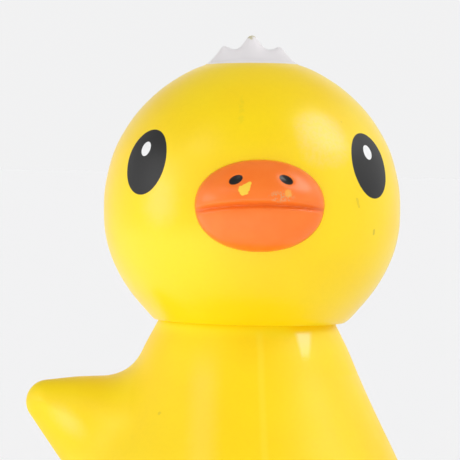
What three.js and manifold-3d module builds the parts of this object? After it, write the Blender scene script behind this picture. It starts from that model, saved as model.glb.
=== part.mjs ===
// Soft-vinyl chick figurine: a hollow head shell that turns on the neck stub of a hollow body shell.
// Millimetres, +Z up. The origin is the centre of the flat base, and the body faces -Y.
import * as THREE from 'three';
import { mergeVertices } from 'three/addons/utils/BufferGeometryUtils.js';
import Module from 'manifold-3d';

const wasm = await Module();
wasm.setup();

// ---------- driving dimensions, mm ----------
const SEAM_Z = 56.9;            // top of the body's shoulder
const SEAM_GAP = 0.35;          // open seam between shoulder and head
const WALL = 1.9;               // shell thickness
const HEAD_CENTRE_Z = 80.74;
const HEAD_SIDE_OFFSET = 0.6;   // head centre, off the body axis
const HEAD_LEAN = 1.24;         // degrees, head axis leans sideways from the body axis
const HEAD_TILT = 0.35;         // degrees, head axis leans back from the face
const VIEW_AZ = -32;            // degrees, direction the turned head looks along at rest, from -Y
const FACE_YAW = 2.6;           // degrees, face centre from that direction
const NECK_R = 12.0;            // neck stub, outside
const NECK_BORE_R = 10.1;
const NECK_HOLE_R = 12.32;      // hole in the head's floor
const LIP_R = 14.2;             // retaining lip on the stub
const LIP_GAP = 0.35;           // lip above the head's floor
const LIP_H = 1.9;
const WING_AZ = 58;             // degrees, wings from the body's back (+Y)
const WING_TIP = [42.72, 38.33];  // centre of the wing tip's rounding: out from the axis, up
const WING_ROUND = 4.76;        // edge rounding of the wing
const WING_EDGE = 5.0;          // how far in from the core's outline the wing's faces start to curve
const WING_FLAT = [9.3, 0.7];   // extra half-thickness at the root, flaring down to that at the tip
const WING_FLARE = [24.5, 45, 1.0]; // where the flare starts and ends, out from the axis, and its steepness
const WING_FILLET = 5.5;        // blend between wing and body
const BODY_FOCUS = 28;          // height of the point that the body's mesh is swept round

// outer radius of the body at each height
const BODY_PROFILE = [
  [-3, 0.5], [-3, 14], [-1.9, 21], [0, 27.5], [1.5, 31.2], [4, 34.5], [8, 36.9], [12.5, 37.7], [17, 37.2],
  [22, 35.7], [28.3, 32.88], [35, 29.51], [41, 26.55], [46, 24.23], [51.2, 21.92], [56.5, 19.21], [61, 17.15], [61.5, 0.5],
];
// head: height above its centre, radius
const HEAD_PROFILE = [
  [-30.5, 0], [-28.4, 11.5], [-24.08, 20.35], [-21.5, 22.95], [-17.2, 26.5], [-12.9, 29.1], [-8.6, 30.85], [-4.3, 31.8], [0, 32.04],
  [4.3, 31.85], [8.6, 31.05], [12.9, 29.75], [17.2, 27.55], [21.5, 24.5], [25.8, 20.1], [28.6, 16.1], [30.6, 12.3], [31.9, 8.2], [32.6, 4.1], [32.85, 0],
];
// bill: two egg shapes, upper and lower; half-sizes right, up, forward, then the centre on the face
const BILL = [
  [[13.2, 6.3, 14.3], [0, 4.3, 23.0]],
  [[12.7, 7.9, 13.9], [0, -0.3, 22.4]],
];
// crown tuft: sideways place, height and radius of each lock
const TUFT = [[0, 5.2, 5.0], [-5.4, 3.1, 4.3], [5.4, 2.9, 4.2]];
const TUFT_FAN = 2.4;           // degrees of lean for each mm sideways
const CROWN_UP = 32.6;          // crown above the head's centre

const deg = Math.PI / 180;
const clamp = (x, a, b) => Math.min(b, Math.max(a, x));

// smooth union of two distances
const blendMin = (a, b, k) => { const h = Math.max(k - Math.abs(a - b), 0) / k; return Math.min(a, b) - h * h * k * 0.25; };

// a curve through profile points, as short straight steps
function finePolyline(points, steps) {
  const curve = new THREE.CatmullRomCurve3(points.map(([z, r]) => new THREE.Vector3(r, z, 0)), false, 'centripetal');
  return curve.getPoints(steps).map((p) => [Math.max(p.x, 0), p.y]);
}
const bodyLine = finePolyline(BODY_PROFILE, 90);

// signed distance from a point (radius, height) to a turned outline
function turnedDistance(line, r, z) {
  let best = 1e9;
  let inside = false;
  for (let i = 0; i < line.length - 1; i++) {
    const [ax, ay] = line[i];
    const [bx, by] = line[i + 1];
    const dx = bx - ax, dy = by - ay;
    const t = clamp(((r - ax) * dx + (z - ay) * dy) / (dx * dx + dy * dy || 1), 0, 1);
    const ex = r - ax - t * dx, ey = z - ay - t * dy;
    best = Math.min(best, ex * ex + ey * ey);
    if ((ay > z) !== (by > z) && r < ax + ((z - ay) / (by - ay)) * dx) inside = !inside;
  }
  return Math.sqrt(best) * (inside ? -1 : 1);
}

// signed distance to a convex outline, corners in order round it
function outlineDistance(poly, x, y) {
  let d = 1e9;
  let sign = 1;
  for (let i = 0, j = poly.length - 1; i < poly.length; j = i, i++) {
    const ex = poly[j][0] - poly[i][0], ey = poly[j][1] - poly[i][1];
    const wx = x - poly[i][0], wy = y - poly[i][1];
    const t = clamp((wx * ex + wy * ey) / (ex * ex + ey * ey), 0, 1);
    d = Math.min(d, (wx - ex * t) ** 2 + (wy - ey * t) ** 2);
    const c1 = y >= poly[i][1], c2 = y < poly[j][1], c3 = ex * wy > ey * wx;
    if ((c1 && c2 && c3) || (!c1 && !c2 && !c3)) sign = -sign;
  }
  return sign * Math.sqrt(d);
}

// wing core in its own upright plane; the rounding makes the real edge
const WING_CORE = [WING_TIP, [36, 39.18], [8, 40.58], [8, 17.8], [28.32, 17.8]];
const wingDirs = [-1, 1].map((s) => [s * Math.sin(WING_AZ * deg), Math.cos(WING_AZ * deg)]);
function wingDistance(x, y, z, [wx, wy]) {
  const u = x * wx + y * wy;
  const n = Math.abs(-x * wy + y * wx);
  const flat = WING_FLAT[1] + (WING_FLAT[0] - WING_FLAT[1]) * clamp((WING_FLARE[1] - u) / (WING_FLARE[1] - WING_FLARE[0]), 0, 1) ** WING_FLARE[2];
  const d2 = outlineDistance(WING_CORE, u, z);
  // the faces meet the outline in a quarter ellipse
  const across = WING_ROUND + WING_EDGE;
  const thick = WING_ROUND + flat;
  const in2 = Math.max(d2 + WING_EDGE, 0);
  const q = Math.hypot(in2 / across, n / thick);
  return ((q - 1) * q) / Math.max(Math.hypot(in2 / across ** 2, n / thick ** 2), 1e-6);
}
function bodyDistance(x, y, z) {
  let d = turnedDistance(bodyLine, Math.hypot(x, y), z);
  for (const w of wingDirs) d = blendMin(d, wingDistance(x, y, z, w), WING_FILLET);
  return d;
}

// evenly shared steps under a density
function spread(n, from, to, density) {
  const fine = 2000;
  const sum = [0];
  for (let i = 0; i < fine; i++) sum.push(sum[i] + density(from + ((i + 0.5) / fine) * (to - from)));
  const out = [];
  let j = 0;
  for (let i = 0; i <= n; i++) {
    const want = (i / n) * sum[fine];
    while (j < fine - 1 && sum[j + 1] < want) j++;
    out.push(from + ((j + clamp((want - sum[j]) / (sum[j + 1] - sum[j]), 0, 1)) / fine) * (to - from));
  }
  return out;
}

// a sphere geometry whose points are moved along their rays to a surface
function sweptSphere(cols, rows, colAngles, rowAngles, place) {
  const g = new THREE.SphereGeometry(1, cols, rows);
  const p = g.attributes.position;
  for (let iy = 0; iy <= rows; iy++) {
    for (let ix = 0; ix <= cols; ix++) {
      const th = rowAngles[iy];
      const ph = colAngles[ix % cols];
      const st = iy === 0 || iy === rows ? 0 : Math.sin(th);
      const v = place(new THREE.Vector3(-st * Math.cos(ph), st * Math.sin(ph), Math.cos(th)));
      p.setXYZ(iy * (cols + 1) + ix, v.x, v.y, v.z);
    }
  }
  return g;
}

// solids from closed geometries
function solid(geometry, matrix) {
  let g = geometry.clone();
  g.deleteAttribute('normal');
  g.deleteAttribute('uv');
  if (matrix) g.applyMatrix4(matrix);
  g = mergeVertices(g, 1e-4);
  const idx = Array.from(g.index.array);
  const tri = [];
  for (let i = 0; i < idx.length; i += 3) {
    const [a, b, c] = [idx[i], idx[i + 1], idx[i + 2]];
    if (a !== b && b !== c && a !== c) tri.push(a, b, c);
  }
  const m = new wasm.Manifold(new wasm.Mesh({ numProp: 3, vertProperties: new Float32Array(g.attributes.position.array), triVerts: new Uint32Array(tri) }));
  return m.volume() < 0 ? flip(g, tri) : m;
}
function flip(g, tri) {
  const t = [];
  for (let i = 0; i < tri.length; i += 3) t.push(tri[i], tri[i + 2], tri[i + 1]);
  return new wasm.Manifold(new wasm.Mesh({ numProp: 3, vertProperties: new Float32Array(g.attributes.position.array), triVerts: new Uint32Array(t) }));
}
function toMesh(name, manifold, material) {
  const m = manifold.getMesh();
  const g = new THREE.BufferGeometry();
  const v = new Float32Array((m.vertProperties.length / m.numProp) * 3);
  for (let i = 0; i < v.length / 3; i++) for (let k = 0; k < 3; k++) v[3 * i + k] = m.vertProperties[i * m.numProp + k];
  g.setAttribute('position', new THREE.BufferAttribute(v, 3));
  g.setIndex(new THREE.BufferAttribute(new Uint32Array(m.triVerts), 1));
  g.computeVertexNormals();
  const mesh = new THREE.Mesh(g, material);
  mesh.name = name;
  return mesh;
}
const upright = new THREE.Matrix4().makeRotationX(Math.PI / 2);
const turned = (points, seg) => solid(new THREE.LatheGeometry(points.map(([r, z]) => new THREE.Vector2(r, z)), seg), upright);
const slab = (w, z0, z1) => solid(new THREE.BoxGeometry(w, w, z1 - z0), new THREE.Matrix4().makeTranslation(0, 0, (z0 + z1) / 2));

// distance along a ray from an inside point to the surface where the function reaches a level
function reach(fn, level, far) {
  let a = 0, b = far;
  for (let i = 0; i < 34; i++) {
    const m = (a + b) / 2;
    if (fn(m) < level) a = m; else b = m;
  }
  return (a + b) / 2;
}

// ---------- body ----------
const wingPhi = wingDirs.map(([x, y]) => { let p = Math.atan2(y, -x); if (p < 0) p += 2 * Math.PI; return p; });
const nearWing = (ph) => {
  let w = 0;
  for (const q of wingPhi) { const d = Math.atan2(Math.sin(ph - q), Math.cos(ph - q)); w += Math.exp(-((d / (13 * deg)) ** 2)); }
  return w;
};
const bodyPoint = (level) => (d) => {
  const t = reach((s) => bodyDistance(d.x * s, d.y * s, BODY_FOCUS + d.z * s), level, 90);
  return new THREE.Vector3(d.x * t, d.y * t, BODY_FOCUS + d.z * t);
};
const bodyCols = (n) => spread(n, 0, 2 * Math.PI, (p) => 1 + 2.2 * nearWing(p));
const bodyRows = (n) => spread(n, 0, Math.PI, (t) => 1 + 0.9 * Math.exp(-(((t - 68 * deg) / (20 * deg)) ** 2)));
const bodyOuter = solid(sweptSphere(60, 34, bodyCols(60), bodyRows(34), bodyPoint(0)))
  .intersect(slab(140, 0, SEAM_Z));
const bodyInner = solid(sweptSphere(36, 20, bodyCols(36), bodyRows(20), bodyPoint(-WALL)))
  .intersect(slab(140, WALL, SEAM_Z - WALL));
const floorTop = SEAM_Z + SEAM_GAP + WALL;
const stub = turned([
  [0, SEAM_Z - 3], [NECK_R - 0.6, SEAM_Z - 3], [NECK_R, SEAM_Z - 1], [NECK_R, floorTop + LIP_GAP], [LIP_R, floorTop + LIP_GAP],
  [LIP_R, floorTop + LIP_GAP + LIP_H * 0.45], [LIP_R - 0.9, floorTop + LIP_GAP + LIP_H], [0, floorTop + LIP_GAP + LIP_H],
], 40);
const bore = turned([[0, SEAM_Z - WALL - 1], [NECK_BORE_R, SEAM_Z - WALL - 1], [NECK_BORE_R, SEAM_Z + 12], [0, SEAM_Z + 12]], 40);
const body = bodyOuter.add(stub).subtract(bodyInner).subtract(bore);

// ---------- head ----------
const az = VIEW_AZ * deg;
const R0 = new THREE.Vector3(Math.cos(az), Math.sin(az), 0);
const F0 = new THREE.Vector3(Math.sin(az), -Math.cos(az), 0);
const Z0 = new THREE.Vector3(0, 0, 1);
const lean = HEAD_LEAN * deg;
const tilt = HEAD_TILT * deg;
const leanUp = Z0.clone().multiplyScalar(Math.cos(lean)).addScaledVector(R0, -Math.sin(lean));
const headUp = leanUp.clone().multiplyScalar(Math.cos(tilt)).addScaledVector(F0, -Math.sin(tilt));
const headFwd = F0.clone().multiplyScalar(Math.cos(tilt)).addScaledVector(leanUp, Math.sin(tilt));
const headRight = R0.clone().multiplyScalar(Math.cos(lean)).addScaledVector(Z0, Math.sin(lean));
const faceFwd = headFwd.clone().multiplyScalar(Math.cos(FACE_YAW * deg)).addScaledVector(headRight, Math.sin(FACE_YAW * deg));
const faceRight = headRight.clone().multiplyScalar(Math.cos(FACE_YAW * deg)).addScaledVector(headFwd, -Math.sin(FACE_YAW * deg));
const headCentre = R0.clone().multiplyScalar(HEAD_SIDE_OFFSET).add(new THREE.Vector3(0, 0, HEAD_CENTRE_Z));

// the turned head shape, its axis through the head's centre
const headTurned = new THREE.Matrix4().makeTranslation(headCentre.x, headCentre.y, headCentre.z)
  .multiply(new THREE.Matrix4().makeBasis(headRight.clone(), headFwd.clone().negate(), headUp))
  .multiply(new THREE.Matrix4().makeRotationX(Math.PI / 2));
const faceTurned = new THREE.Matrix4().makeTranslation(headCentre.x, headCentre.y, headCentre.z)
  .multiply(new THREE.Matrix4().makeBasis(faceRight, headUp, faceFwd));
const headShell = (grow, seg, steps) => solid(new THREE.LatheGeometry(
  finePolyline(HEAD_PROFILE, steps).map(([r, z], i, all) => {
    const [r0, z0] = all[Math.max(i - 1, 0)], [r1, z1] = all[Math.min(i + 1, all.length - 1)];
    const len = Math.hypot(r1 - r0, z1 - z0) || 1;
    const end = i === 0 || i === all.length - 1;
    return new THREE.Vector2(end ? 0 : Math.max(r + (grow * (z1 - z0)) / len, 0.05), z - (grow * (r1 - r0)) / len);
  }), seg), headTurned);

// an egg shape: half-sizes right, up and forward, and its centre on the face
const egg = ([a, b, c], [x, y, z], cols, rows) => solid(
  new THREE.SphereGeometry(1, cols, rows),
  faceTurned.clone().multiply(new THREE.Matrix4().makeTranslation(x, y, z))
    .multiply(new THREE.Matrix4().makeScale(a, b, c)).multiply(new THREE.Matrix4().makeRotationX(Math.PI / 2)));
// a lock of the crown tuft: a rounded peak that leans sideways
function lock([at, tall, r]) {
  const pts = [new THREE.Vector2(0, -4), new THREE.Vector2(r, -4)];
  for (let i = 0; i <= 7; i++) { const t = i / 7; pts.push(new THREE.Vector2(r * Math.cos(t * 0.5 * Math.PI) ** 1.25, tall * Math.sin(t * 0.5 * Math.PI) ** 1.1)); }
  pts[pts.length - 1].x = 0;
  return solid(new THREE.LatheGeometry(pts, 18), faceTurned.clone()
    .multiply(new THREE.Matrix4().makeTranslation(at, CROWN_UP - 0.05 * Math.abs(at), 0))
    .multiply(new THREE.Matrix4().makeRotationZ(-at * TUFT_FAN * deg)));
}
let headOuter = headShell(0, 52, 28);
for (const [half, at] of BILL) headOuter = headOuter.add(egg(half, at, 28, 18));
for (const t of TUFT) headOuter = headOuter.add(lock(t));
let headInner = headShell(-WALL, 36, 20);
for (const [half, at] of BILL) headInner = headInner.add(egg(half.map((h) => h - WALL), at, 18, 12));
const neckHole = turned([[0, SEAM_Z - 4], [NECK_HOLE_R, SEAM_Z - 4], [NECK_HOLE_R, floorTop + 2], [0, floorTop + 2]], 40);
const head = headOuter.intersect(slab(140, SEAM_Z + SEAM_GAP, 140))
  .subtract(headInner.intersect(slab(140, floorTop, 140)))
  .subtract(neckHole);

// ---------- assembly ----------
const vinyl = () => new THREE.MeshStandardMaterial({ color: 0xfad22d, roughness: 0.38, metalness: 0 });
const chick = new THREE.Group();
chick.name = 'chick_figurine';
chick.add(toMesh('body', body, vinyl()));
chick.add(toMesh('head', head, vinyl()));

export default chick;
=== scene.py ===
import math

import bpy
import numpy as np
from mathutils import Matrix


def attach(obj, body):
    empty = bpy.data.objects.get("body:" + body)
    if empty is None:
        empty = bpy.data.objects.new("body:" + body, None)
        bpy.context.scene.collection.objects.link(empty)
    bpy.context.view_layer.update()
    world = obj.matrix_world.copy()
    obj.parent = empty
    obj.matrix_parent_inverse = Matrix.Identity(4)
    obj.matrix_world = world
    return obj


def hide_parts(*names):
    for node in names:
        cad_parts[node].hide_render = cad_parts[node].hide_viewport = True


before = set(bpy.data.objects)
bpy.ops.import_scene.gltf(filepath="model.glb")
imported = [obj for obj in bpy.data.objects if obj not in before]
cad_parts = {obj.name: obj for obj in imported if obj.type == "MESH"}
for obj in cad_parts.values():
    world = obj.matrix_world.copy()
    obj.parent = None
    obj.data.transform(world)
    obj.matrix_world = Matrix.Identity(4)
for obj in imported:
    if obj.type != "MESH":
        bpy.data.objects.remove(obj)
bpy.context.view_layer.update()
MM = 0.001
deg = math.pi / 180

# ------------------------------------------------------------------ sizes, mm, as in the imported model
SEAM_Z, SEAM_GAP, WALL = 56.9, 0.35, 1.9
HEAD_EDGE_Z = SEAM_Z + 0.03                     # the head skin's lower edge
HEAD_CENTRE_Z, HEAD_SIDE_OFFSET, HEAD_LEAN, HEAD_TILT = 80.74, 0.6, 1.24, 0.35
VIEW_AZ, FACE_YAW = -32.0, 2.6
NECK_R, NECK_BORE_R, NECK_HOLE_R = 12.0, 10.1, 12.32
LIP_R, LIP_GAP, LIP_H = 14.2, 0.35, 1.9
WING_AZ, WING_TIP, WING_ROUND, WING_EDGE, WING_FLAT, WING_FLARE, WING_FILLET = 58.0, (42.72, 38.33), 4.76, 5.0, (9.3, 0.7), (24.5, 45, 1.0), 5.5
BODY_FOCUS = 28.0
BODY_PROFILE = [
    (-3, 0.5), (-3, 14), (-1.9, 21), (0, 27.5), (1.5, 31.2), (4, 34.5), (8, 36.9), (12.5, 37.7), (17, 37.2),
    (22, 35.7), (28.3, 32.88), (35, 29.51), (41, 26.55), (46, 24.23), (51.2, 21.92), (56.5, 19.21), (61, 17.15), (61.5, 0.5),
]
HEAD_PROFILE = [
    (-30.5, 0), (-28.4, 11.5), (-24.08, 20.35), (-21.5, 22.95), (-17.2, 26.5), (-12.9, 29.1), (-8.6, 30.85), (-4.3, 31.8), (0, 32.04),
    (4.3, 31.85), (8.6, 31.05), (12.9, 29.75), (17.2, 27.55), (21.5, 24.5), (25.8, 20.1), (28.6, 16.1), (30.6, 12.3), (31.9, 8.2), (32.6, 4.1), (32.85, 0),
]
CROWN_UP = 32.6
TUFT = [(0.0, 5.2, 4.5), (-5.4, 3.2, 3.8), (5.4, 3.0, 3.7)]   # sideways place, height, root radius of each lock
TUFT_FAN = 2.4
BILL_R = 32.0           # radius on which the face's places are measured
BILL_A, BILL_B, BILL_UP = 13.2, 9.3, 1.2
BILL_OUT = 5.1
MOUTH_DIP, MOUTH_CORNER = 1.0, -0.2

# ------------------------------------------------------------------ directions
az = VIEW_AZ * deg
Z0 = np.array([0.0, 0.0, 1.0])
R0 = np.array([math.cos(az), math.sin(az), 0.0])
F0 = np.array([math.sin(az), -math.cos(az), 0.0])
L, T = HEAD_LEAN * deg, HEAD_TILT * deg
LUP = Z0 * math.cos(L) - R0 * math.sin(L)
HRT = R0 * math.cos(L) + Z0 * math.sin(L)
HUP = LUP * math.cos(T) - F0 * math.sin(T)
HFW = F0 * math.cos(T) + LUP * math.sin(T)
FFW = HFW * math.cos(FACE_YAW * deg) + HRT * math.sin(FACE_YAW * deg)
FRT = HRT * math.cos(FACE_YAW * deg) - HFW * math.sin(FACE_YAW * deg)
HC = R0 * HEAD_SIDE_OFFSET + Z0 * HEAD_CENTRE_Z


def head_dir(azim, elev):
    """a direction on the head: degrees to the right of the camera's side, degrees up"""
    a, e = azim * deg, elev * deg
    return HRT * math.cos(e) * math.sin(a) + HUP * math.sin(e) + HFW * math.cos(e) * math.cos(a)


# ------------------------------------------------------------------ camera: level, close, at the photograph's angle
F_PX, DIST, PITCH, ROLL = 2609.0, 565.5, 1.4 * deg, 1.24 * deg
fwd = -F0 * math.cos(PITCH) - Z0 * math.sin(PITCH)
up0 = Z0 * math.cos(PITCH) - F0 * math.sin(PITCH)
CX = R0 * math.cos(ROLL) + up0 * math.sin(ROLL)
CY = -R0 * math.sin(ROLL) + up0 * math.cos(ROLL)
PIVOT = np.array([0, 0, 56.5])
cam_pos = PIVOT - (fwd * DIST + CX * ((246.75 - 230) / F_PX * DIST) - CY * ((322 - 230) / F_PX * DIST))
cam_data = bpy.data.cameras.new("photo_camera")
cam = bpy.data.objects.new("photo_camera", cam_data)
bpy.context.scene.collection.objects.link(cam)
cam_data.sensor_width = 36.0
cam_data.lens = F_PX / 460 * 36.0
cam_data.clip_start, cam_data.clip_end = 0.02, 60.0
m = Matrix.Identity(4)
for i in range(3):
    m[i][0], m[i][1], m[i][2], m[i][3] = CX[i], CY[i], -fwd[i], cam_pos[i] * MM
cam.matrix_world = m
bpy.context.scene.camera = cam


# ------------------------------------------------------------------ small maths
def smooth(a, b, x):
    t = np.clip((x - a) / (b - a), 0, 1)
    return t * t * (3 - 2 * t)


def smin(a, b, k):
    h = np.maximum(k - np.abs(a - b), 0) / k
    return np.minimum(a, b) - h * h * k * 0.25


def smax(a, b, k):
    return -smin(-a, -b, k)


def curve_points(points, per):
    """a centripetal curve through (height, radius) points: arrays of height and radius"""
    p = np.array([(r, z) for z, r in points], float)
    ext = np.vstack([2 * p[0] - p[1], p, 2 * p[-1] - p[-2]])
    out = []
    for i in range(len(p) - 1):
        p0, p1, p2, p3 = ext[i:i + 4]
        d0, d1, d2 = (max(np.sum((b - a) ** 2) ** 0.25, 1e-4) for a, b in ((p0, p1), (p1, p2), (p2, p3)))
        t1 = (p1 - p0) / d0 - (p2 - p0) / (d0 + d1) + (p2 - p1) / d1
        t2 = (p2 - p1) / d1 - (p3 - p1) / (d1 + d2) + (p3 - p2) / d2
        t1, t2 = t1 * d1, t2 * d1
        w = (np.arange(per) / per)[:, None]
        out.append(p1 + t1 * w + (-3 * p1 + 3 * p2 - 2 * t1 - t2) * w ** 2 + (2 * p1 - 2 * p2 + t1 + t2) * w ** 3)
    out.append(p[-1:])
    q = np.vstack(out)
    return q[:, 1], np.maximum(q[:, 0], 0)


def spread(n, a, b, density):
    x = np.linspace(a, b, 6001)
    mid = (x[1:] + x[:-1]) / 2
    s = np.concatenate([[0], np.cumsum(density(mid))])
    return np.interp(np.linspace(0, s[-1], n + 1), s, x)


def reach(fn, d, lo=2.0, hi=95.0, steps=34):
    a = np.full(len(d), lo)
    b = np.full(len(d), hi)
    for _ in range(steps):
        t = (a + b) / 2
        inside = fn(d * t[:, None]) < 0
        a = np.where(inside, t, a)
        b = np.where(inside, b, t)
    return (a + b) / 2


def ring_mesh(name, rings, first_pole, last_pole, hard=38.0):
    """one closed skin from rings of points, in metres"""
    n = len(rings[0])
    pts = np.vstack([first_pole[None]] + rings + [last_pole[None]]) * MM
    k = len(rings)
    i = np.arange(n)
    j = (i + 1) % n
    faces = [np.stack([np.zeros(n, int), 1 + j, 1 + i], 1)]
    quads = []
    for r in range(k - 1):
        a, b = 1 + r * n, 1 + (r + 1) * n
        quads.append(np.stack([a + i, a + j, b + j, b + i], 1))
    last = 1 + (k - 1) * n
    end = np.full(n, 1 + k * n)
    faces.append(np.stack([last + i, last + j, end], 1))
    quads = np.vstack(quads)
    me = bpy.data.meshes.new(name)
    nt, nq = 2 * n, len(quads)
    me.vertices.add(len(pts))
    me.vertices.foreach_set("co", pts.astype(np.float32).ravel())
    me.loops.add(nt * 3 + nq * 4)
    me.loops.foreach_set("vertex_index", np.concatenate([np.vstack(faces).ravel(), quads.ravel()]).astype(np.int32))
    me.polygons.add(nt + nq)
    starts = np.concatenate([np.arange(nt) * 3, nt * 3 + np.arange(nq) * 4])
    me.polygons.foreach_set("loop_start", starts.astype(np.int32))
    me.update(calc_edges=True)
    me.validate()
    me.shade_smooth()
    me.set_sharp_from_angle(angle=hard * deg)
    ob = bpy.data.objects.new(name, me)
    bpy.context.scene.collection.objects.link(ob)
    return ob


# ------------------------------------------------------------------ body skin
bz, br = curve_points(BODY_PROFILE, 60)
keep = (bz > -1.9) & (bz < 60.9)
bz, br = bz[keep], br[keep]
order = np.argsort(bz)
bz, br = bz[order], br[order]
bslope = np.gradient(br, bz)
bcos = 1 / np.sqrt(1 + bslope ** 2)
wing_dirs = [(s * math.sin(WING_AZ * deg), math.cos(WING_AZ * deg)) for s in (-1, 1)]
WING_CORE = np.array([WING_TIP, (36, 39.18), (8, 40.58), (8, 17.8), (28.32, 17.8)], float)


def outline_distance(poly, x, y):
    d = np.full(x.shape, 1e9)
    s = np.ones(x.shape)
    for i in range(len(poly)):
        a, b = poly[i], poly[i - 1]
        ex, ey = b - a
        wx, wy = x - a[0], y - a[1]
        t = np.clip((wx * ex + wy * ey) / (ex * ex + ey * ey), 0, 1)
        d = np.minimum(d, (wx - ex * t) ** 2 + (wy - ey * t) ** 2)
        c1, c2, c3 = y >= a[1], y < b[1], ex * wy > ey * wx
        s = np.where((c1 & c2 & c3) | (~c1 & ~c2 & ~c3), -s, s)
    return s * np.sqrt(d)


def wing_distance(p, w):
    u = p[:, 0] * w[0] + p[:, 1] * w[1]
    n = np.abs(-p[:, 0] * w[1] + p[:, 1] * w[0])
    flat = WING_FLAT[1] + (WING_FLAT[0] - WING_FLAT[1]) * np.clip((WING_FLARE[1] - u) / (WING_FLARE[1] - WING_FLARE[0]), 0, 1) ** WING_FLARE[2]
    d2 = outline_distance(WING_CORE, u, p[:, 2])
    across, thick, in2 = WING_ROUND + WING_EDGE, WING_ROUND + flat, np.maximum(d2 + WING_EDGE, 0)
    q = np.hypot(in2 / across, n / thick)
    return (q - 1) * q / np.maximum(np.hypot(in2 / across ** 2, n / thick ** 2), 1e-6)


def body_distance(p):
    rho = np.hypot(p[:, 0], p[:, 1])
    d = (rho - np.interp(p[:, 2], bz, br)) * np.interp(p[:, 2], bz, bcos)
    for w in wing_dirs:
        d = smin(d, wing_distance(p, w), WING_FILLET)
    return d


def body_rays(ths, phs):
    t, f = np.meshgrid(ths, phs, indexing="ij")
    return np.stack([np.sin(t) * np.sin(f), -np.sin(t) * np.cos(f), np.cos(t)], -1)


NB = 330
wing_phi = [math.atan2(w[0], -w[1]) % (2 * math.pi) for w in wing_dirs]
phb = spread(NB, 0, 2 * math.pi, lambda f: 1 + 1.7 * sum(
    np.exp(-((((f - q + math.pi) % (2 * math.pi) - math.pi) / (13 * deg)) ** 2)) for q in wing_phi))[:-1]
th_neck = math.atan2(NECK_R, SEAM_Z - BODY_FOCUS)
th_top = math.atan2(19.1, SEAM_Z - BODY_FOCUS)
th_base = math.pi - math.atan2(27.5, BODY_FOCUS)
thb = spread(205, th_neck, math.pi - 0.02, lambda t: 1 + 0.9 * np.exp(-(((t - 68 * deg) / (20 * deg)) ** 2))
             + 7 * np.exp(-(((t - th_top) / (1.3 * deg)) ** 2)) + 5 * np.exp(-(((t - th_base) / (2.0 * deg)) ** 2))
             - 0.55 * smooth(th_base + 4 * deg, th_base + 9 * deg, t) - 0.5 * smooth(th_top - 3 * deg, th_top - 5 * deg, t))


def body_outer(p):
    q = p + np.array([0, 0, BODY_FOCUS])
    d = body_distance(q)
    d = smax(d, q[:, 2] - SEAM_Z, 0.08)
    return smax(d, -q[:, 2], 0.9)


def body_inner(p):
    q = p + np.array([0, 0, BODY_FOCUS])
    return np.maximum(np.maximum(body_distance(q) + WALL, q[:, 2] - (SEAM_Z - WALL)), WALL - q[:, 2])


rays = body_rays(thb, phb)
tt = reach(body_outer, rays.reshape(-1, 3)).reshape(rays.shape[:2])
outer = rays * tt[..., None] + np.array([0, 0, BODY_FOCUS])
outer[..., 2] = np.clip(outer[..., 2], 0, SEAM_Z)


def circle(r, z, phs=phb):
    return np.stack([r * np.sin(phs), -r * np.cos(phs), np.full(len(phs), z)], -1)


floor_top = SEAM_Z + SEAM_GAP + WALL
lip0 = floor_top + LIP_GAP
thi = spread(26, math.atan2(NECK_BORE_R, SEAM_Z - WALL - BODY_FOCUS), math.pi - 0.1, lambda t: np.ones_like(t))
rays_i = body_rays(thi, phb)
ti = reach(body_inner, rays_i.reshape(-1, 3)).reshape(rays_i.shape[:2])
inner = rays_i * ti[..., None] + np.array([0, 0, BODY_FOCUS])
rings = [outer[k] for k in range(len(thb) - 1, -1, -1)]                      # outside, from the base up to the neck
rings[-1] = circle(NECK_R, SEAM_Z)
rings += [circle(NECK_R, lip0), circle(LIP_R, lip0), circle(LIP_R, lip0 + LIP_H * 0.45), circle(LIP_R - 0.9, lip0 + LIP_H),
          circle(NECK_BORE_R, lip0 + LIP_H), circle(NECK_BORE_R, SEAM_Z), circle(NECK_BORE_R, SEAM_Z - WALL)]
rings += [inner[k] for k in range(1, len(thi))]
body_ob = ring_mesh("body_skin", rings, np.array([0, 0, 0.0]), np.array([0, 0, WALL]))

# ------------------------------------------------------------------ head skin
hz, hr = curve_points(HEAD_PROFILE, 60)
hang = np.arctan2(hr, hz)                       # angle from the crown, of each profile point
hrad = np.hypot(hr, hz)
order = np.argsort(hang)
hang, hrad = hang[order], hrad[order]


def bill_out(a, b):
    """how far the bill stands out of the head at a place on the face, mm"""
    q = np.abs(a / BILL_A) ** 2.15 + np.abs((b - BILL_UP) / BILL_B) ** 2.1
    y = b - BILL_UP
    dome = np.maximum(1 - q, 0) ** 0.56
    mouth = MOUTH_DIP + (MOUTH_CORNER - MOUTH_DIP) * (a / BILL_A) ** 2
    lip = smooth(BILL_B, 0.0, y - mouth)
    upper = BILL_OUT * dome * (0.70 + 0.36 * lip)
    lower = BILL_OUT * dome * 0.87
    t = smooth(-1.15, 0.15, y - mouth)
    groove = 0.6 * np.exp(-(((y - mouth + 0.85) / 0.5) ** 2)) * np.clip(dome * 1.8, 0, 1)
    out = lower * (1 - t) + upper * t - groove
    for s in (-1, 1):                            # nostril dimples
        ca, sa = math.cos(28 * deg), s * math.sin(28 * deg)
        da, db = a - s * NOSTRIL[0], y - NOSTRIL[1]
        u, v = da * ca - db * sa, da * sa + db * ca
        out = out - 0.45 * np.exp(-((u / 1.25) ** 2 + (v / 0.8) ** 2))
    return np.where(q < 1, out, 0)


NOSTRIL = (4.6, 4.7)


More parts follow.
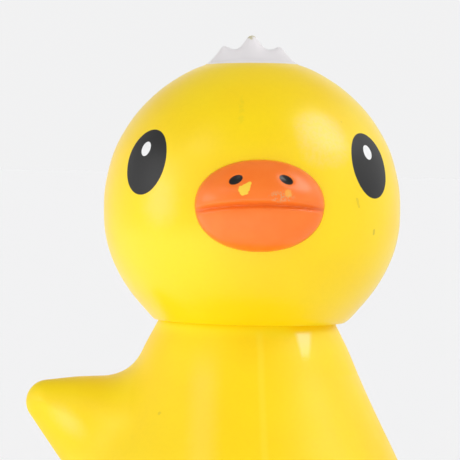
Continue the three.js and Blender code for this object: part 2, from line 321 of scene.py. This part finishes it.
def lock_distance(x, y, z, tall, r):
    """a rounded cone from the root up"""
    r1, r2, h = r, 1.15, tall - 1.15 + 1.5
    rho, zz = np.hypot(x, y), z + 1.5
    b = (r1 - r2) / h
    a = math.sqrt(max(1 - b * b, 1e-6))
    k = -b * rho + a * zz
    return np.where(k < 0, np.hypot(rho, zz) - r1, np.where(k > a * h, np.hypot(rho, zz - h) - r2, rho * a + zz * b - r1))


def head_outer(p):
    """p from the head's centre, in the row's axes"""
    n = np.linalg.norm(p, axis=1)
    d = p / n[:, None]
    up, rt, fw = d @ HUP, d @ FRT, d @ FFW
    base = np.interp(np.arccos(np.clip(up, -1, 1)), hang, hrad)
    base = base + np.where(fw > 0, bill_out(BILL_R * rt, BILL_R * up), 0)
    dist = n - base
    near = up > 0.85
    if near.any():
        q = p[near]
        x, y, z = q @ FRT, q @ FFW, q @ HUP
        dn = dist[near]
        for at, tall, r in TUFT:
            f = -at * TUFT_FAN * deg
            cx, cz = x - at, z - (CROWN_UP - 0.05 * abs(at))
            lx, lz = cx * math.cos(f) + cz * math.sin(f), -cx * math.sin(f) + cz * math.cos(f)
            dn = smin(dn, lock_distance(lx, y, lz, tall, r), 2.0)
        dist[near] = dn
    return smax(dist, HEAD_EDGE_Z - HC[2] - p[:, 2], 0.08)


def head_inner(p):
    n = np.linalg.norm(p, axis=1)
    d = p / n[:, None]
    base = np.interp(np.arccos(np.clip(d @ HUP, -1, 1)), hang, hrad) - WALL
    return np.maximum(n - base, floor_top - HC[2] - p[:, 2])


def head_rays(ths, phs):
    """ths: rows x columns"""
    f = phs[None, :] + 0 * ths
    return np.sin(ths)[..., None] * (np.cos(f)[..., None] * FFW + np.sin(f)[..., None] * FRT) + np.cos(ths)[..., None] * HUP


NH = 300
phh = spread(NH, -math.pi, math.pi, lambda f: 1 + 5 * np.exp(-((f / (29 * deg)) ** 8)))[:-1]
# angle from the crown at which the skin meets the floor plane, for each column
lo, hi = np.full(NH, 2.0), np.full(NH, 2.9)
for _ in range(30):
    mid = (lo + hi) / 2
    dd = head_rays(mid[None], phh)[0]
    zz = HC[2] + dd[:, 2] * np.interp(mid, hang, hrad)
    above = zz > HEAD_EDGE_Z
    lo, hi = np.where(above, mid, lo), np.where(above, hi, mid)
th_edge = (lo + hi) / 2
te = th_edge.mean()
th_end = te + 9 * deg
rows = spread(232, 0.012, th_end, lambda t: 1 + 3.2 * np.exp(-(((t - 88 * deg) / (21 * deg)) ** 8)) + 2.5 * np.exp(-((t / (19 * deg)) ** 6))
              + 8 * np.exp(-(((t - te) / (1.3 * deg)) ** 2)))
ths = rows[:, None] + (th_edge - te)[None] * smooth(115 * deg, te, rows)[:, None]
rays = head_rays(ths, phh)
tt = reach(head_outer, rays.reshape(-1, 3), 10, 60).reshape(rays.shape[:2])
houter = rays * tt[..., None] + HC
houter[..., 2] = np.maximum(houter[..., 2], HEAD_EDGE_Z)


def hole_ring(r, z):
    """a circle round the neck axis, at the columns' own bearings"""
    last = houter[-1]
    f = np.arctan2(last[:, 1], last[:, 0])
    return np.stack([r * np.cos(f), r * np.sin(f), np.full(len(f), z)], -1)


hole_lo, hole_hi = hole_ring(NECK_HOLE_R, HEAD_EDGE_Z), hole_ring(NECK_HOLE_R, floor_top)
rel = hole_hi - HC
th_hole = np.arccos(np.clip((rel @ HUP) / np.linalg.norm(rel, axis=1), -1, 1))
ph_hole = np.arctan2(rel @ FRT, rel @ FFW)
inn = []
for k, w in enumerate(np.linspace(0, 1, 28)[1:-1]):
    t = th_hole * (1 - w)
    f = ph_hole + (phh - ph_hole) * min(1.0, w * 3)
    d = np.sin(t)[:, None] * (np.cos(f)[:, None] * FFW + np.sin(f)[:, None] * FRT) + np.cos(t)[:, None] * HUP
    s = reach(head_inner, d, 5, 60)
    inn.append(d * s[:, None] + HC)
top_out = HC + HUP * reach(head_outer, HUP[None], 10, 60)[0]
top_in = HC + HUP * reach(head_inner, HUP[None], 5, 60)[0]
rings = [houter[k] for k in range(len(rows))] + [hole_lo, hole_hi] + inn
head_ob = ring_mesh("head_skin", rings, top_out, top_in)


# ------------------------------------------------------------------ node building
class Net:
    """a few words for building shader nodes"""

    def __init__(self, tree):
        self.t = tree
        tree.nodes.clear()

    def new(self, kind, **props):
        n = self.t.nodes.new(kind)
        for k, v in props.items():
            setattr(n, k, v)
        return n

    def put(self, socket, v):
        if isinstance(v, bpy.types.NodeSocket):
            self.t.links.new(v, socket)
        else:
            socket.default_value = v

    def m(self, op, *args, clamp=False):
        n = self.new("ShaderNodeMath", operation=op, use_clamp=clamp)
        for i, a in enumerate(args):
            self.put(n.inputs[i], a)
        return n.outputs[0]

    def v(self, op, *args):
        n = self.new("ShaderNodeVectorMath", operation=op)
        names = [s for s in n.inputs if s.enabled]
        for s, a in zip(names, args):
            self.put(s, tuple(a) if not isinstance(a, (bpy.types.NodeSocket, float)) else a)
        return n.outputs["Value"] if op in ("DOT_PRODUCT", "LENGTH", "DISTANCE") else n.outputs["Vector"]

    def add(self, a, b): return self.m("ADD", a, b)
    def sub(self, a, b): return self.m("SUBTRACT", a, b)
    def mul(self, a, b): return self.m("MULTIPLY", a, b)
    def div(self, a, b): return self.m("DIVIDE", a, b)

    def ramp(self, x, a, b, lo=0.0, hi=1.0):
        n = self.new("ShaderNodeMapRange", interpolation_type="SMOOTHSTEP")
        for s, val in zip((0, 1, 2, 3, 4), (x, a, b, lo, hi)):
            self.put(n.inputs[s], val)
        return n.outputs[0]

    def noise(self, vec, scale, detail=2.0, rough=0.5):
        n = self.new("ShaderNodeTexNoise", noise_dimensions="3D")
        self.put(n.inputs["Vector"], vec)
        n.inputs["Scale"].default_value = scale
        n.inputs["Detail"].default_value = detail
        n.inputs["Roughness"].default_value = rough
        return n.outputs[0]

    def mix(self, f, a, b):
        n = self.new("ShaderNodeMix", data_type="RGBA")
        self.put(n.inputs[0], f)
        for i, c in ((6, a), (7, b)):
            self.put(n.inputs[i], (*c, 1.0) if isinstance(c, tuple) and len(c) == 3 else c)
        return n.outputs[2]

    def mixf(self, f, a, b):
        n = self.new("ShaderNodeMix", data_type="FLOAT")
        for i, c in ((0, f), (2, a), (3, b)):
            self.put(n.inputs[i], c)
        return n.outputs[0]

    def gain(self, col, f):
        """colour times a number"""
        n = self.new("ShaderNodeVectorMath", operation="SCALE")
        self.put(n.inputs[0], col)
        self.put(n.inputs["Scale"], f)
        return n.outputs[0]


def dab(net, P, at, r, to=None, r2=None, wob=None):
    """1 inside a round or drawn-out mark on the surface, mm"""
    at = np.asarray(at, float)
    v = net.v("SUBTRACT", P, at)
    if to is not None:
        along = np.asarray(to, float) - at
        h = net.m("MULTIPLY", net.v("DOT_PRODUCT", v, along), 1.0 / float(along @ along), clamp=True)
        v = net.v("SUBTRACT", v, net.gain(tuple(along), h))
        if r2 is not None:
            r = net.add(r, net.mul(h, r2 - r))
    d = net.div(net.v("LENGTH", v), r)
    if wob is not None:
        d = net.add(d, wob)
    return net.ramp(d, 1.15, 0.55)


def vinyl_base(net, P):
    """yellow vinyl: colour with slow variation and fine mottling. P in mm."""
    slow = net.noise(P, 0.055, 2.0, 0.45)
    fine = net.noise(P, 1.1, 3.0, 0.55)
    YEL_A, YEL_B = (0.975, 0.668, 0.0010), (0.980, 0.708, 0.0020)
    col = net.mix(net.ramp(slow, 0.3, 0.7), YEL_A, YEL_B)
    col = net.gain(col, net.ramp(fine, 0.25, 0.75, 0.988, 1.008))
    return col


def bsdf(net, color, rough, bump_h, bump_strength=0.10, spec=0.42):
    n = net.new("ShaderNodeBsdfPrincipled")
    net.put(n.inputs["Base Color"], color)
    net.put(n.inputs["Roughness"], rough)
    n.inputs["Specular IOR Level"].default_value = spec
    n.inputs["IOR"].default_value = 1.5
    b = net.new("ShaderNodeBump")
    b.inputs["Strength"].default_value = bump_strength
    b.inputs["Distance"].default_value = 0.0002
    net.put(b.inputs["Height"], bump_h)
    net.t.links.new(b.outputs[0], n.inputs["Normal"])
    out = net.new("ShaderNodeOutputMaterial")
    net.t.links.new(n.outputs[0], out.inputs[0])
    return n


def material(name):
    mat = bpy.data.materials.new(name)
    mat.use_nodes = True
    return mat, Net(mat.node_tree)


def object_mm(net):
    tc = net.new("ShaderNodeTexCoord")
    n = net.new("ShaderNodeVectorMath", operation="SCALE")
    net.t.links.new(tc.outputs["Object"], n.inputs[0])
    n.inputs["Scale"].default_value = 1000.0
    return n.outputs[0]


# ------------------------------------------------------------------ body vinyl
mat_b, g = material("body_vinyl")
P = object_mm(g)
col = vinyl_base(g, P)
specks = g.ramp(g.noise(P, 2.3, 1.0), 0.79, 0.85)
col = g.mix(g.mul(specks, 0.12), col, (0.42, 0.30, 0.05))
wob = g.sub(g.noise(P, 1.3, 3.0, 0.6), 0.5)
wobble = g.mul(wob, 1.2)
PX, PF, PZ = g.v("DOT_PRODUCT", P, R0), g.v("DOT_PRODUCT", P, F0), g.v("DOT_PRODUCT", P, Z0)


def body_at(bearing, z):
    """a point of the body's skin: degrees to the right of the camera's side, height"""
    r = float(np.interp(z, bz, br))
    return (R0 * math.sin(bearing * deg) + F0 * math.cos(bearing * deg)) * r + Z0 * z


# dirt
for bearing, z, r, k in ((-40.2, 38.3, 0.46, 0.22), (63, 24, 0.55, 0.4), (150, 41, 0.5, 0.45), (-128, 20, 0.6, 0.4)):
    col = g.mix(g.mul(dab(g, P, body_at(bearing, z), r, wob=wobble), k), col, (0.36, 0.24, 0.02))
# darker and greener round the wing tip
tip = -R0 * 45.6 + Z0 * 41.6
tip_darkening = g.mul(g.ramp(g.add(g.div(g.v("DISTANCE", P, tip), 4.2), g.mul(wob, 0.8)), 1.0, 0.25), 0.15)
col = g.mix(tip_darkening, col, (0.50, 0.52, 0.09))
# painted light round the neck, lifting the shade under the head; painted warm shadow to the right, under the head's
# overhang
neck_painted_light = g.mul(g.ramp(PZ, 53.6, 56.9), g.m("GREATER_THAN", PZ, 50.0))
overhang_painted_shadow = g.mul(g.ramp(PX, 7.0, 11.0), g.ramp(PZ, 54.6, 56.0))
col = g.mix(g.mul(neck_painted_light, 0.72), col, (0.99, 0.82, 0.010))
col = g.mix(g.mul(overhang_painted_shadow, 0.9), col, (1.0, 0.71, 0.0))
# painted warm shade along the top of that wing
wing_top_painted_shade = g.mul(g.ramp(PZ, 38.5, 41.5), g.ramp(PX, -20.0, -27.0))
col = g.mix(g.mul(wing_top_painted_shade, 0.6), col, (1.0, 0.75, 0.0))
# a painted highlight on the wing
wx, wz = g.add(PX, 38.0), g.sub(PZ, 35.0)
wu = g.div(g.add(g.mul(wx, 0.78), g.mul(wz, -0.62)), 5.4)
wv = g.div(g.add(g.mul(wx, 0.62), g.mul(wz, 0.78)), 2.7)
wing_painted_highlight = g.m("SQRT", g.add(g.mul(wu, wu), g.mul(wv, wv)))
wing_painted_highlight = g.mul(g.ramp(g.add(wing_painted_highlight, g.mul(wob, 0.5)), 1.25, 0.1), g.m("GREATER_THAN", PF, -6.0))
col = g.mix(g.mul(wing_painted_highlight, 0.17), col, (0.98, 0.86, 0.44))
# a broad, faint painted highlight streak beside it
body_painted_highlight = g.mul(g.ramp(g.m("ABSOLUTE", g.add(g.add(PX, 8.8), g.mul(wob, 1.6))), 4.6, 0.4), g.m("GREATER_THAN", PF, 0.0))
body_painted_highlight = g.mul(body_painted_highlight, g.mul(g.ramp(PZ, 54.0, 45.0), g.ramp(PZ, 12.0, 24.0)))
col = g.mix(g.mul(body_painted_highlight, 0.07), col, (0.98, 0.88, 0.46))
# a faint upright mould ridge down the front (bump and gloss), with a painted highlight along it
line_t = R0 * math.cos(7.3 * deg) - F0 * math.sin(7.3 * deg)
sx = g.add(g.v("DOT_PRODUCT", P, line_t), g.mul(g.sub(g.noise(P, 0.12, 2.0), 0.5), 0.8))
ridge_and_painted_highlight = g.mul(g.mul(g.ramp(g.m("ABSOLUTE", sx), 1.15, 0.15), g.m("GREATER_THAN", PF, 0.0)), g.ramp(PZ, 56.3, 54.8))
col = g.mix(g.mul(ridge_and_painted_highlight, 0.36), col, (0.98, 0.76, 0.045))
# a glossier, worn patch below the shoulder, with a faint trail; the patch is also painted paler as a painted highlight
patch_t = R0 * math.cos(36 * deg) - F0 * math.sin(36 * deg)
px = g.v("DOT_PRODUCT", P, patch_t)
pc = g.add(-0.85, g.mul(g.sub(PZ, 50.6), 0.26))
pw = g.add(1.05, g.mul(g.sub(PZ, 50.6), 0.24))
px = g.div(g.add(g.m("ABSOLUTE", g.sub(px, pc)), g.mul(wob, 0.5)), pw)
side = g.m("GREATER_THAN", g.v("DOT_PRODUCT", P, R0 + F0), 0.0)
gloss_and_painted_highlight = g.mul(g.mul(g.ramp(px, 1.3, 0.55), side), g.mul(g.ramp(PZ, 56.0, 55.2), g.ramp(g.add(PZ, wob), 49.3, 51.4)))
trail = g.mul(g.mul(g.ramp(px, 1.5, 0.3), side), g.mul(g.ramp(PZ, 51.2, 50.4), g.ramp(PZ, 36, 48)))
bump = g.add(g.mul(g.noise(P, 0.45, 2.0), 0.25), g.mul(g.noise(P, 2.4, 1.0), 0.02))
bump = g.add(bump, g.mul(ridge_and_painted_highlight, 0.3))
rough = g.ramp(g.noise(P, 0.25, 3.0), 0.3, 0.7, 0.38, 0.45)
rough = g.mixf(g.mul(ridge_and_painted_highlight, 0.6), rough, 0.29)
# painted highlight on the glossy patch
col = g.mix(g.mul(gloss_and_painted_highlight, g.ramp(PZ, 49.5, 55.0, 0.12, 0.40)), col, (0.98, 0.81, 0.33))
rough = g.mixf(g.mul(trail, 0.5), rough, 0.29)
rough = g.mixf(gloss_and_painted_highlight, rough, 0.12)
bsdf(g, col, rough, bump, spec=0.32)
body_ob.data.materials.append(mat_b)

# ------------------------------------------------------------------ head vinyl and paint
mat_h, g = material("head_vinyl")
P = object_mm(g)
V = g.v("SUBTRACT", P, HC)
N = g.v("NORMALIZE", V)
rt, up, fw = g.v("DOT_PRODUCT", N, FRT), g.v("DOT_PRODUCT", N, HUP), g.v("DOT_PRODUCT", N, FFW)
wob = g.sub(g.noise(P, 0.8, 3.0, 0.6), 0.5)
front = g.m("GREATER_THAN", fw, 0.2)

col = vinyl_base(g, P)
specks = g.ramp(g.noise(P, 2.1, 1.0), 0.79, 0.85)
col = g.mix(g.mul(specks, 0.12), col, (0.42, 0.30, 0.05))
rough = g.add(g.ramp(g.noise(P, 0.25, 3.0), 0.3, 0.7, 0.286, 0.312), g.mul(g.sub(g.noise(P, 0.9, 2.0), 0.5), 0.012))

# a finely scuffed area above the brow, painted paler as a painted highlight
vb = g.v("SUBTRACT", P, HC + head_dir(30.2, 27.6) * 32.0)
b1 = np.cross(HUP, head_dir(30.5, 26.5)); b1 /= np.linalg.norm(b1)
b2 = np.cross(head_dir(30.5, 26.5), b1)
bx = g.m("POWER", g.m("ABSOLUTE", g.div(g.v("DOT_PRODUCT", vb, b1), 6.3)), 3.0)
by = g.m("POWER", g.m("ABSOLUTE", g.div(g.v("DOT_PRODUCT", vb, b2), 6.6)), 3.0)
bz2 = g.m("POWER", g.m("ABSOLUTE", g.div(g.v("DOT_PRODUCT", vb, head_dir(30.5, 26.5)), 6.0)), 3.0)
scuff_and_painted_highlight = g.ramp(g.add(g.add(g.add(bx, by), bz2), g.mul(wob, 0.6)), 1.3, 0.25)
scuff_and_painted_highlight = g.mul(scuff_and_painted_highlight, g.ramp(g.noise(P, 1.2, 3.0, 0.6), 0.30, 0.66, 0.35, 1.0))
col = g.mix(g.mul(scuff_and_painted_highlight, 0.16), col, (0.95, 0.68, 0.50))

# a painted highlight on the cheek
cheek_painted_highlight = g.ramp(g.add(g.div(g.v("DISTANCE", P, HC + head_dir(-37.5, 2.5) * 32.0), 6.6), g.mul(wob, 0.3)), 1.0, 0.05)
col = g.mix(g.mul(cheek_painted_highlight, 0.18), col, (0.98, 0.84, 0.46))

# bill paint
A = g.mul(rt, BILL_R)
B = g.sub(g.mul(up, BILL_R), BILL_UP)
qa = g.m("POWER", g.m("ABSOLUTE", g.div(A, BILL_A)), 2.15)
qb = g.m("POWER", g.m("ABSOLUTE", g.div(B, BILL_B)), 2.1)
q = g.add(g.add(qa, qb), g.mul(wob, 0.03))
bill = g.mul(g.ramp(q, 1.03, 0.985), front)
orange = g.mix(g.ramp(g.noise(P, 0.3, 2.0), 0.3, 0.7), (0.955, 0.186, 0.014), (0.965, 0.202, 0.019))
col = g.mix(bill, col, orange)
mouth = g.add(MOUTH_DIP, g.mul(MOUTH_CORNER - MOUTH_DIP, g.m("POWER", g.m("ABSOLUTE", g.div(A, BILL_A)), 2.0)))
y_m = g.sub(B, mouth)
# painted shade in the mouth crease
crease_painted_shade = g.mul(g.mul(g.ramp(g.m("ABSOLUTE", g.add(y_m, 0.85)), 0.75, 0.1), bill), 0.35)
col = g.mix(crease_painted_shade, col, (0.62, 0.085, 0.010))
for s in (-1, 1):
    ca, sa = math.cos(28 * deg), s * math.sin(28 * deg)
    da, db = g.sub(A, s * NOSTRIL[0]), g.sub(B, NOSTRIL[1])
    u = g.sub(g.mul(da, ca), g.mul(db, sa))
    v = g.add(g.mul(da, sa), g.mul(db, ca))
    d2 = g.add(g.m("POWER", g.div(u, 1.35), 2.0), g.m("POWER", g.div(v, 0.85), 2.0))
    col = g.mix(g.mul(g.ramp(d2, 1.15, 0.85), front), col, (0.008, 0.007, 0.006))

# wear on the bill: a chip down to the yellow, and scuffs beside it
face = g.new("ShaderNodeCombineXYZ")
for i, c in enumerate((A, B, 0.0)):
    g.put(face.inputs[i], c)
face = face.outputs[0]
edge = g.mul(g.sub(g.noise(P, 1.9, 3.0, 0.6), 0.5), 0.9)
chip = g.mul(g.ramp(g.m("MULTIPLY", dab(g, face, (-3.1, 2.7, 0), 1.12, to=(-2.1, 3.9, 0), r2=0.42, wob=edge), 1.0), 0.35, 0.65), front)
scuff = g.new("ShaderNodeVectorMath", operation="MULTIPLY")
g.put(scuff.inputs[0], g.v("SUBTRACT", face, (3.5, 1.5, 0)))
scuff.inputs[1].default_value = (1 / 2.7, 1 / 1.3, 0)
sm = g.ramp(g.v("LENGTH", scuff.outputs[0]), 1.0, 0.5)
sm = g.mul(g.mul(sm, g.ramp(g.noise(P, 1.5, 3.0, 0.7), 0.47, 0.60)), front)
col = g.mix(g.mul(sm, 0.7), col, (0.70, 0.38, 0.17))
sm2 = g.mul(dab(g, face, (4.7, 2.1, 0), 0.75, wob=edge), front)
col = g.mix(g.mul(sm2, 0.55), col, (0.93, 0.52, 0.07))
col = g.mix(chip, col, (0.955, 0.63, 0.05))

# eyes: black paint with a white catch mark
EYES = [(-47.5, 19.0, 5.9, 7.1, 6), (53.5, 17.5, 5.9, 7.1, -6)]   # bearing, height, half-width, half-height, tilt
eye_any = None
for ea, ee, hw, hh, tilt in EYES:
    E = head_dir(ea, ee)
    e1 = np.cross(HUP, E); e1 /= np.linalg.norm(e1)
    e2 = np.cross(E, e1)
    c, s = math.cos(tilt * deg), math.sin(tilt * deg)
    t1, t2 = e1 * c + e2 * s, -e1 * s + e2 * c
    a, b, f = g.v("DOT_PRODUCT", N, t1 * BILL_R), g.v("DOT_PRODUCT", N, t2 * BILL_R), g.m("GREATER_THAN", g.v("DOT_PRODUCT", N, E), 0.5)
    d2 = g.add(g.add(g.m("POWER", g.div(a, hw), 2.0), g.m("POWER", g.div(b, hh), 2.0)), g.mul(wob, 0.02))
    eye = g.mul(g.ramp(d2, 1.02, 0.98), f)
    col = g.mix(eye, col, (0.0045, 0.0043, 0.0045))
    eye_any = eye if eye_any is None else g.m("MAXIMUM", eye_any, eye)
    hx = g.div(g.sub(a, -0.3), 1.35)
    hy = g.div(g.sub(b, 2.7), 1.6)
    dot = g.mul(g.ramp(g.add(g.m("POWER", hx, 2.0), g.m("POWER", hy, 2.0)), 1.06, 0.94), f)
    col = g.mix(dot, col, (0.86, 0.86, 0.86))
rough = g.mixf(eye_any, rough, 0.42)

# dirt
wobble = g.mul(wob, 1.2)


def head_at(azim, elev):
    return HC + head_dir(azim, elev) * 32.0


for (aa, ee), r, k, to in (((44.2, 35.2), 0.5, 0.5, None), ((42.5, 4.6), 0.36, 0.24, (43.5, 1.8)), ((52.9, -7.4), 0.45, 0.42, (53.0, -8.3)),
                           ((-4.7, 36.2), 0.45, 0.35, None), ((-42.6, 39.9), 0.5, 0.42, None), ((118, 12), 0.5, 0.4, None),
                           ((171, 40), 0.45, 0.45, None), ((-146, -6), 0.5, 0.4, (-145.4, -8.4))):
    d = dab(g, P, head_at(aa, ee), r, to=None if to is None else head_at(*to), wob=wobble)
    col = g.mix(g.mul(d, k), col, (0.34, 0.23, 0.02))
smear = dab(g, P, head_at(-6.2, 46.0), 0.9, to=head_at(-5.0, 34.8), r2=0.8, wob=g.mul(wob, 2.2))
col = g.mix(g.mul(smear, 0.13), col, (0.48, 0.48, 0.03))

# white crown
vu = g.v("DOT_PRODUCT", V, HUP)
vr, vf = g.v("DOT_PRODUCT", V, FRT), g.v("DOT_PRODUCT", V, FFW)
rho = g.m("SQRT", g.add(g.mul(vr, vr), g.mul(vf, vf)))
cap = g.mul(g.ramp(g.add(rho, g.mul(wob, 0.3)), 9.95, 9.75), g.m("GREATER_THAN", vu, 20.0))
col = g.mix(cap, col, (0.83, 0.80, 0.81))
worn = g.mul(g.ramp(g.add(vu, g.mul(wob, 2.2)), CROWN_UP + 4.3, CROWN_UP + 5.0), 0.8)
col = g.mix(worn, col, (0.55, 0.50, 0.25))

bump = g.add(g.mul(g.noise(P, 0.75, 2.0), g.add(0.16, g.mul(scuff_and_painted_highlight, 0.55))), g.mul(g.noise(P, 2.4, 1.0), 0.015))
bump = g.sub(bump, g.mul(g.m("MAXIMUM", chip, g.mul(sm, 0.6)), 0.5))
bump = g.add(bump, g.mul(g.m("MAXIMUM", eye_any, g.m("MAXIMUM", bill, cap)), 0.25))
bsdf(g, col, rough, bump)
head_ob.data.materials.append(mat_h)

# ------------------------------------------------------------------ light: pale surroundings with one large soft light
world = bpy.data.worlds.new("studio")
bpy.context.scene.world = world
world.use_nodes = True
g = Net(world.node_tree)
tc = g.new("ShaderNodeTexCoord")
D = g.v("NORMALIZE", tc.outputs["Generated"])


def compass(azim, elev):
    a, e = azim * deg, elev * deg
    return F0 * math.cos(a) * math.cos(e) + R0 * math.sin(a) * math.cos(e) + Z0 * math.sin(e)


def panel(azim, elev, half_w, half_h, soft):
    """1 inside a rectangular panel seen in that direction, fading to 0 outside"""
    E = compass(azim, elev)
    e1 = np.cross(Z0, E); e1 /= np.linalg.norm(e1)
    e2 = np.cross(E, e1)
    f = g.v("DOT_PRODUCT", D, E)
    fm = g.m("MAXIMUM", f, 0.05)
    x = g.m("ABSOLUTE", g.div(g.v("DOT_PRODUCT", D, e1), fm))
    y = g.m("ABSOLUTE", g.div(g.v("DOT_PRODUCT", D, e2), fm))
    tx, ty, ts = math.tan(half_w * deg), math.tan(half_h * deg), math.tan(soft * deg)
    r = g.mul(g.ramp(x, tx + ts, tx - ts), g.ramp(y, ty + ts, ty - ts))
    return g.mul(r, g.m("GREATER_THAN", f, 0.06))


HORIZON, ZENITH = 0.885, 0.37
el = g.v("DOT_PRODUCT", D, Z0)
rad = g.ramp(el, 0.10, 0.80, HORIZON, ZENITH)
PANELS = [   # bearing from the camera's side, height, half-width, half-height, softness, all in degrees; brightness
    (84, 47.5, 13, 13.5, 2.5, 4.4), (-78, 15, 14, 6.5, 2.5, 3.0),
    (-68, 28, 26, 16, 6.0, 0.34), (-52, 44, 10, 10, 4.0, 1.3), (-5, 42, 22, 9, 6.0, 0.25), (45, 42, 18, 9, 6.0, 0.36),
    (50, 17, 26, 8, 5.0, 0.32), (104, 34, 26, 15, 6.0, 0.50), (160, 26, 30, 12, 6.0, 0.16),
]
for *where, bright in PANELS:
    rad = g.add(rad, g.mul(panel(*where), bright))
bg = g.new("ShaderNodeBackground")
g.put(bg.inputs["Color"], g.gain((0.998, 0.998, 1.003), rad))
out = g.new("ShaderNodeOutputWorld")
g.t.links.new(bg.outputs[0], out.inputs[0])

# pale floor, glowing evenly, with a brighter glowing pool of painted light ahead to the left and painted shadow round
# the figure
n = 96
ring_r = [0.0] + list(np.geomspace(0.05, 30.0, 24))
verts, faces = [(0, 0, 0)], []
for r in ring_r[1:]:
    verts += [(r * math.cos(2 * math.pi * k / n), r * math.sin(2 * math.pi * k / n), 0) for k in range(n)]
for k in range(n):
    faces.append((0, 1 + k, 1 + (k + 1) % n))
for j in range(len(ring_r) - 2):
    a, b = 1 + j * n, 1 + (j + 1) * n
    for k in range(n):
        faces.append((a + k, b + k, b + (k + 1) % n, a + (k + 1) % n))
fm = bpy.data.meshes.new("floor")
fm.from_pydata(verts, [], faces)
floor = bpy.data.objects.new("floor", fm)
bpy.context.scene.collection.objects.link(floor)
mat_f, g = material("floor_paper")
nb = g.new("ShaderNodeBsdfPrincipled")
FLOOR_ALBEDO, FLOOR_GLOW, FLOOR_LIFT = 0.50, 1.15, 0.457
tc = g.new("ShaderNodeTexCoord")
FP = tc.outputs["Object"]
ahead = g.v("DOT_PRODUCT", FP, F0 * math.cos(45 * deg) - R0 * math.sin(45 * deg))
# a painted pool of light on the floor, which also glows onto the figure
painted_light_pool = g.mul(g.ramp(ahead, -0.04, 0.26), g.m("POWER", g.ramp(g.v("LENGTH", FP), 1.0, 0.06), 2.0))
# painted contact shadow: the floor's glow dimmed where the figure is near
near = g.new("ShaderNodeAmbientOcclusion", samples=6, only_local=False)
near.inputs["Distance"].default_value = 0.05
painted_contact_shadow = g.m("POWER", near.outputs["AO"], 1.6)
lift = g.mul(g.add(FLOOR_LIFT, g.mul(painted_light_pool, FLOOR_GLOW)), painted_contact_shadow)
nb.inputs["Base Color"].default_value = (FLOOR_ALBEDO, FLOOR_ALBEDO, FLOOR_ALBEDO * 1.004, 1)
nb.inputs["Roughness"].default_value = 1.0
nb.inputs["Specular IOR Level"].default_value = 0.0
nb.inputs["Emission Color"].default_value = (0.998, 0.998, 1.003, 1)
g.put(nb.inputs["Emission Strength"], lift)
out = g.new("ShaderNodeOutputMaterial")
g.t.links.new(nb.outputs[0], out.inputs[0])
fm.materials.append(mat_f)

# ------------------------------------------------------------------ finish
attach(body_ob, "body")
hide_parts("body")
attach(head_ob, "head")
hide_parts("head")
sc = bpy.context.scene
sc.view_settings.view_transform = "Standard"
sc.view_settings.look = "None"
